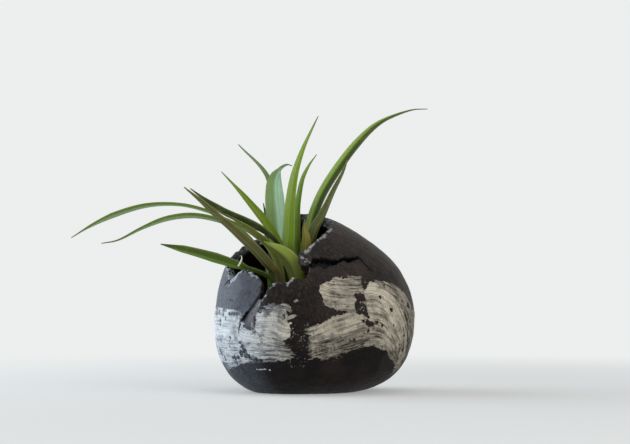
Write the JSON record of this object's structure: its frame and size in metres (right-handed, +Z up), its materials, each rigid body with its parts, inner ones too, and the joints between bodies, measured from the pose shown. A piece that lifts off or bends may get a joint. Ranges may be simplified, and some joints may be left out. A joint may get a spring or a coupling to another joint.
{
  "type": "plant pot",
  "caption": "Hand-pinched dark stoneware plant pot with a torn, slanting mouth and brushed pale slip, holding potting mix and a lift-out strap-leaved plant.",
  "frame": {"origin": "on the flat base, midway between the pot's left and right sides and between its front and back", "axes": "+Z up, +X to the right as seen from the torn front, -Y towards the viewer"},
  "size_m": [0.2032, 0.119, 0.1599],
  "materials": {
    "clay": "unglazed dark stoneware with scrapes and pits, and broad dry-brushed strokes of cream slip",
    "potting_mix": "dark fibrous bark and coir crumbs",
    "roots": "matted fine roots and coir",
    "stem": "pale waxy sheath",
    "leaf": "satin green leaf with fine lengthwise veins",
    "leaf_olive": "dull olive underside of an older leaf",
    "leaf_withered": "dry yellow-orange leaf"
  },
  "bodies": {
    "pot": {"pot_shell": "clay", "potting_mix": "potting_mix"},
    "plant": {"root_ball": "roots", "plant_stem": "stem", "leaf_left_long": "leaf", "leaf_left_arched": "leaf", "leaf_over_flap": "leaf", "leaf_olive": "leaf_olive", "leaf_left_dark": "leaf", "leaf_left_inner": "leaf", "leaf_front_short": "leaf", "leaf_back_left": "leaf", "leaf_back_tall": "leaf", "leaf_back_short": "leaf", "leaf_back_broad": "leaf", "leaf_upright": "leaf", "leaf_upright_short": "leaf", "leaf_right_long": "leaf", "leaf_right_short": "leaf", "leaf_withered": "leaf_withered"}
  },
  "joints": [
    {"name": "plant_lift", "type": "slide", "parent": "pot", "child": "plant", "axis": [0, 0, 1], "range_m": [0, 0.09]}
  ]
}
